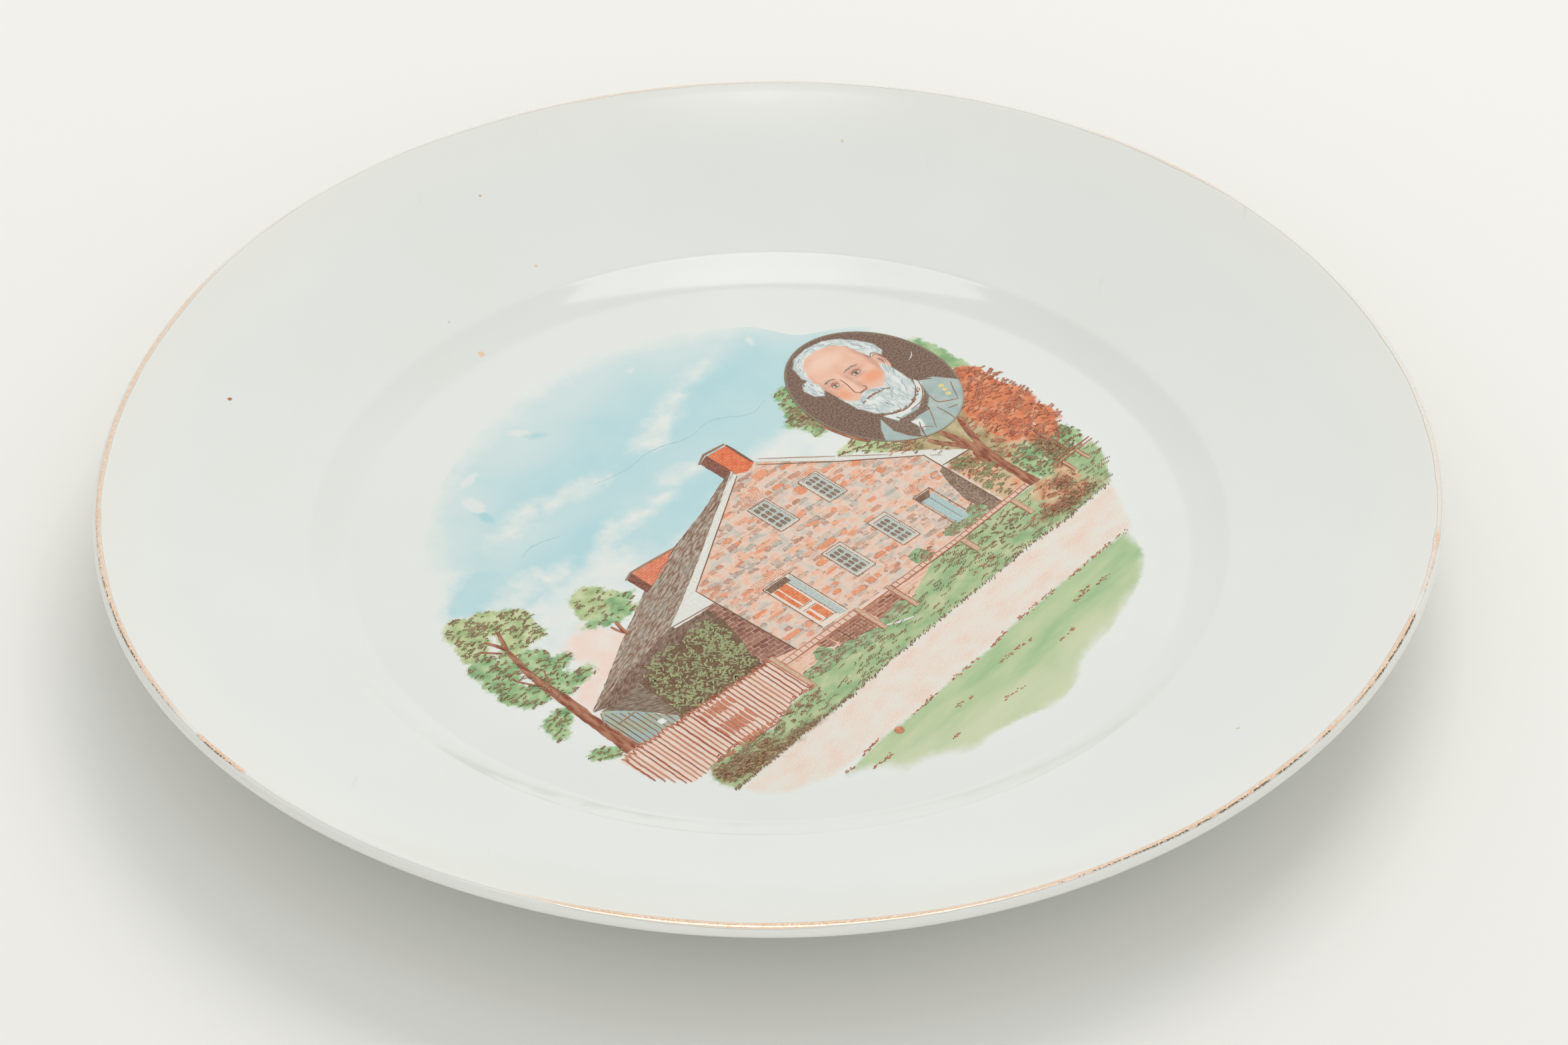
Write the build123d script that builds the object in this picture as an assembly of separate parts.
from build123d import *
import os

# Souvenir plate: a fired porcelain dish, its glaze, two fired-on colour transfers and a gold rim line.
# Frame: origin on the standing plane at the dish's axis, +Z up, +Y towards the top of the picture.
# All sizes are in millimetres. Profiles are drawn as (radius, height).

# --- Driving dimensions: the dish, measured on the glaze ---
plate_radius = 95.0
floor_height = 6.2
well_radius = 59.7
cove_width = 5.4
cove_rise = 2.6
rim_height = 18.9
lip_thickness = 2.3
lip_setback = 0.9
marly_sag = 0.6
cove_sag = 0.35

# --- Driving dimensions: underside and foot ring ---
underside_height = 2.7
foot_inner_radius = 53.6
foot_face_inner_radius = 54.6
foot_face_outer_radius = 57.0
foot_root_radius = 60.0
foot_root_height = 3.3
foot_tip_round = 0.6
foot_root_round = 1.2

# --- Driving dimensions: fired layers ---
glaze_thickness = 0.15
bare_foot_height = 0.6
print_thickness = 0.05
gilt_thickness = 0.05
gilt_inner_radius = 93.5
gilt_outer_radius = 94.7

# --- The picture: an oval portrait let into a landscape, both lying on the well's floor ---
portrait_centre = (36.1, 14.1)
portrait_half_width = 11.7
portrait_half_height = 14.3
landscape_outline = [
    (5.0, 49.5),
    (22.0, 44.0),
    (34.0, 35.0),
    (42.0, 26.5),
    (47.0, 20.0),
    (49.5, 14.0),
    (51.5, 3.0),
    (50.0, -10.0),
    (49.0, -18.0),
    (44.0, -25.5),
    (39.0, -33.0),
    (34.5, -41.0),
    (27.0, -46.0),
    (13.0, -50.0),
    (1.0, -53.5),
    (-13.0, -51.5),
    (-27.0, -45.0),
    (-36.0, -38.0),
    (-42.5, -31.5),
    (-48.0, -22.0),
    (-51.0, -11.0),
    (-50.5, 6.0),
    (-46.0, 20.5),
    (-37.0, 30.5),
    (-27.0, 39.0),
    (-12.0, 46.5),
]

# Reach of helper rectangles past the dish, so that cuts run clear of it
clear_margin = 10.0


def bowed(start, end, sag):
    """Arc from start to end that hangs below its chord by sag."""
    chord = Vector(*end) - Vector(*start)
    middle = (Vector(*start) + Vector(*end)) * 0.5
    below = Vector(chord.Y, -chord.X).normalized()
    if below.Y > 0:
        below = below * -1
    return ThreePointArc(start, middle + below * sag, end)


def dish_profile():
    """Half section of the glazed dish, carried a little past the axis so that offsets stay square there."""
    cove_foot = (well_radius, floor_height)
    cove_top = (well_radius + cove_width, floor_height + cove_rise)
    lip_top = (plate_radius - lip_setback, rim_height)
    lip_nose = (plate_radius, rim_height - lip_thickness / 2)
    lip_under = (plate_radius - lip_setback, rim_height - lip_thickness)
    foot_root = (foot_root_radius, foot_root_height)
    foot_outer = (foot_face_outer_radius, 0)
    foot_inner = (foot_face_inner_radius, 0)
    foot_inside = (foot_inner_radius, underside_height)
    top_start = (-clear_margin, floor_height)
    under_end = (-clear_margin, underside_height)
    outline = [
        Line(top_start, cove_foot),
        bowed(cove_foot, cove_top, cove_sag),
        bowed(cove_top, lip_top, marly_sag),
        ThreePointArc(lip_top, lip_nose, lip_under),
        bowed(foot_root, lip_under, marly_sag),
        Line(foot_root, foot_outer),
        Line(foot_outer, foot_inner),
        Line(foot_inner, foot_inside),
        Line(foot_inside, under_end),
        Line(under_end, top_start),
    ]
    section = make_face(outline)
    tips = [v for v in section.vertices() if v.Y < 0.01]
    section = fillet(tips, foot_tip_round)
    roots = [v for v in section.vertices() if is_at(v, foot_inside) or is_at(v, foot_root)]
    return fillet(roots, foot_root_round)


def is_at(vertex, point):
    """Whether a section's vertex lies at a given (radius, height)."""
    return abs(vertex.X - point[0]) < 0.01 and abs(vertex.Y - point[1]) < 0.01


def window(low, high):
    """Rectangle between two (radius, height) corners."""
    size = (high[0] - low[0], high[1] - low[1])
    centre = ((low[0] + high[0]) / 2, (low[1] + high[1]) / 2)
    return Pos(*centre) * Rectangle(*size)


def turned(section):
    """Solid of revolution of the part of a section that lies at a positive radius."""
    reach = plate_radius + clear_margin
    half = window((0, -clear_margin), (reach, rim_height + clear_margin))
    kept = section & half
    return revolve(Plane.XZ * kept, Axis.Z, 360)


def porcelain_section(glazed):
    """Bare porcelain: the glazed section less its glaze, with the foot's tip carried down to the table."""
    biscuit = offset(glazed, amount=-glaze_thickness, kind=Kind.INTERSECTION)
    tip = window(
        (foot_face_inner_radius, 0),
        (foot_face_outer_radius, 2 * bare_foot_height),
    )
    return biscuit + tip


def glaze_sections(glazed, porcelain):
    """The two fields of glaze that the foot's bare tip parts: the one inside it, then all the rest."""
    reach = plate_radius + clear_margin
    glazeable = window((0, bare_foot_height), (reach, rim_height + clear_margin))
    fields = (glazed - porcelain) & glazeable
    return fields.faces().sort_by(Axis.X)


def gilt_section(glazed):
    """Gold: a thin band on top of the lip."""
    over = offset(glazed, amount=gilt_thickness, kind=Kind.ARC) - glazed
    band = window(
        (gilt_inner_radius, rim_height - lip_thickness / 2),
        (gilt_outer_radius, rim_height + 1),
    )
    return over & band


def portrait_field():
    """The portrait's oval."""
    return Pos(*portrait_centre) * Ellipse(portrait_half_width, portrait_half_height)


def landscape_field():
    """The landscape's soft-edged field, with the portrait's oval left out of it."""
    edge = Spline(*landscape_outline, periodic=True)
    return make_face(edge) - portrait_field()


def film(field):
    """A fired transfer film of even thickness on the well's floor."""
    return Pos(0, 0, floor_height) * extrude(field, amount=print_thickness)


def save(shape, node):
    """Write one node's solid under its name."""
    shape.label = node
    export_step(shape, os.path.join("parts", node + ".step"))


def main():
    """Make every node of the plate."""
    os.makedirs("parts", exist_ok=True)
    glazed = dish_profile()
    porcelain = porcelain_section(glazed)
    inside_foot, top_and_outside = glaze_sections(glazed, porcelain)
    save(turned(porcelain), "porcelain_body")
    save(turned(top_and_outside), "glaze_coat")
    save(turned(inside_foot), "foot_recess_glaze")
    save(film(landscape_field()), "landscape_print")
    save(film(portrait_field()), "portrait_print")
    save(turned(gilt_section(glazed)), "gilt_line")


main()
